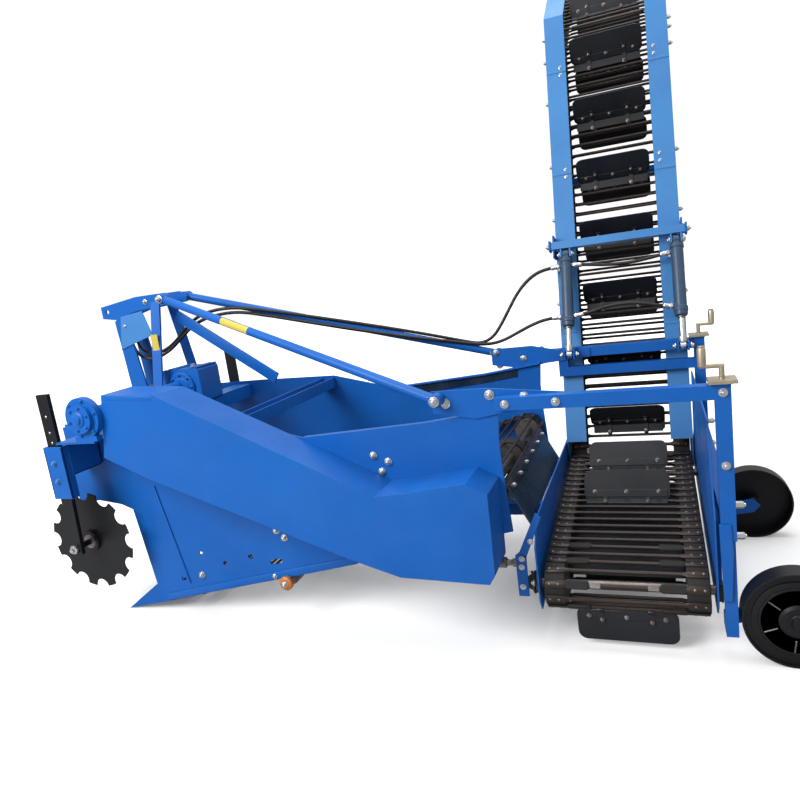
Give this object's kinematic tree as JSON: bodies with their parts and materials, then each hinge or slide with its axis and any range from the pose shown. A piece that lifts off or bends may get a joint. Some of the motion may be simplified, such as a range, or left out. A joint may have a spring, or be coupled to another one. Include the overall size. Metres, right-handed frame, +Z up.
{
  "type": "potato harvester",
  "caption": "Towed potato harvester with a rod digging web, cross conveyor and tall side elevator folded by hydraulic cylinders, notched disc coulters and small steel wheels",
  "frame": {"origin": "on the ground under the middle of the machine's box", "axes": "+X to the machine's rear, +Y to its right-hand side where the elevator stands, +Z up"},
  "size_m": [3.5649, 2.6141, 3.2101],
  "materials": {
    "blue_paint": "gloss",
    "black_paint": "satin",
    "web_black": "matte",
    "cylinder_paint": "satin",
    "bare_steel": "satin",
    "zinc": "satin",
    "hard_chrome": "polished",
    "cast_housing": "matte",
    "flap_rubber": "matte",
    "hose_rubber": "matte"
  },
  "bodies": {
    "frame": {"chain_guard": "blue_paint", "conveyor_carriers": "blue_paint", "conveyor_front_plate": "blue_paint", "conveyor_rear_plate": "blue_paint", "conveyor_shafts": "bare_steel", "conveyor_web": "web_black", "cross_beams": "blue_paint", "cross_shaft": "blue_paint", "digging_web": "web_black", "far_brace": "blue_paint", "far_crank": "zinc", "far_disc_shank": "black_paint", "far_lower_hitch": "blue_paint", "far_rear_plate": "blue_paint", "far_side_frame": "blue_paint", "far_side_wall": "blue_paint", "gearbox": "blue_paint", "hose_couplings": "zinc", "hose_feed_low": "hose_rubber", "hose_feed_top": "hose_rubber", "low_rail": "blue_paint", "mast": "blue_paint", "near_brace": "blue_paint", "near_crank": "zinc", "near_disc_shank": "black_paint", "near_lower_hitch": "blue_paint", "near_rear_plate": "blue_paint", "near_side_frame": "blue_paint", "near_side_wall": "blue_paint", "pto_shaft": "bare_steel", "rod_clevises": "blue_paint", "rubber_flap": "flap_rubber", "share": "blue_paint", "tail_bearings": "cast_housing", "tail_bracket": "blue_paint", "wall_strip": "flap_rubber", "web_rollers": "bare_steel"},
    "elevator": {"elevator_web": "web_black", "elevator_front_wall": "blue_paint", "elevator_rear_wall": "blue_paint", "elevator_shafts": "bare_steel", "elevator_bar": "blue_paint"},
    "front_barrel": {"front_cylinder": "cylinder_paint", "hose_cross_top": "hose_rubber", "hose_cross_low": "hose_rubber"},
    "rear_barrel": {"rear_cylinder": "cylinder_paint"},
    "front_rod": {"front_cylinder_rod": "hard_chrome"},
    "rear_rod": {"rear_cylinder_rod": "hard_chrome"},
    "near_leg": {"near_wheel_leg": "blue_paint"},
    "far_leg": {"far_wheel_leg": "blue_paint"},
    "near_wheel_body": {"near_wheel": "black_paint"},
    "far_wheel_body": {"far_wheel": "black_paint"},
    "near_disc_body": {"near_disc": "black_paint"},
    "far_disc_body": {"far_disc": "black_paint"}
  },
  "joints": [
    {"name": "elevator_fold", "type": "hinge", "parent": "frame", "child": "elevator", "pos_m": [1.0274, 0.146, 0.41], "axis": [-1, 0, 0], "range_deg": [0, 20]},
    {"name": "front_cylinder_swing", "type": "hinge", "parent": "elevator", "child": "front_barrel", "pos_m": [0.7694, 0.1938, 1.5318], "axis": [-1, 0, 0], "range_deg": [0, 15]},
    {"name": "front_rod_slide", "type": "slide", "parent": "front_barrel", "child": "front_rod", "axis": [0, -0.375, -0.927], "range_m": [0, 0.17]},
    {"name": "rear_cylinder_swing", "type": "hinge", "parent": "elevator", "child": "rear_barrel", "pos_m": [1.3174, 0.1938, 1.5318], "axis": [-1, 0, 0], "range_deg": [0, 15]},
    {"name": "rear_rod_slide", "type": "slide", "parent": "rear_barrel", "child": "rear_rod", "axis": [0, -0.375, -0.927], "range_m": [0, 0.17]},
    {"name": "near_leg_lift", "type": "slide", "parent": "frame", "child": "near_leg", "axis": [0, 0, 1], "range_m": [-0.1, 0.1]},
    {"name": "near_wheel_spin", "type": "hinge", "parent": "near_leg", "child": "near_wheel_body", "pos_m": [1.6024, -1.064, 0.18], "axis": [0, 1, 0], "continuous": true},
    {"name": "near_disc_spin", "type": "hinge", "parent": "frame", "child": "near_disc_body", "pos_m": [-1.5316, -1.159, 0.44], "axis": [0, 1, 0], "continuous": true},
    {"name": "far_leg_lift", "type": "slide", "parent": "frame", "child": "far_leg", "axis": [0, 0, 1], "range_m": [-0.1, 0.1]},
    {"name": "far_wheel_spin", "type": "hinge", "parent": "far_leg", "child": "far_wheel_body", "pos_m": [1.6024, 0.056, 0.18], "axis": [0, 1, 0], "continuous": true},
    {"name": "far_disc_spin", "type": "hinge", "parent": "frame", "child": "far_disc_body", "pos_m": [-1.5316, 0.151, 0.44], "axis": [0, 1, 0], "continuous": true}
  ],
  "couplings": [
    {"joint": "front_cylinder_swing", "follows": "elevator_fold", "ratio": 0.64},
    {"joint": "front_rod_slide", "follows": "elevator_fold", "m_per_rad": 0.484},
    {"joint": "rear_cylinder_swing", "follows": "elevator_fold", "ratio": 0.64},
    {"joint": "rear_rod_slide", "follows": "elevator_fold", "m_per_rad": 0.484}
  ]
}
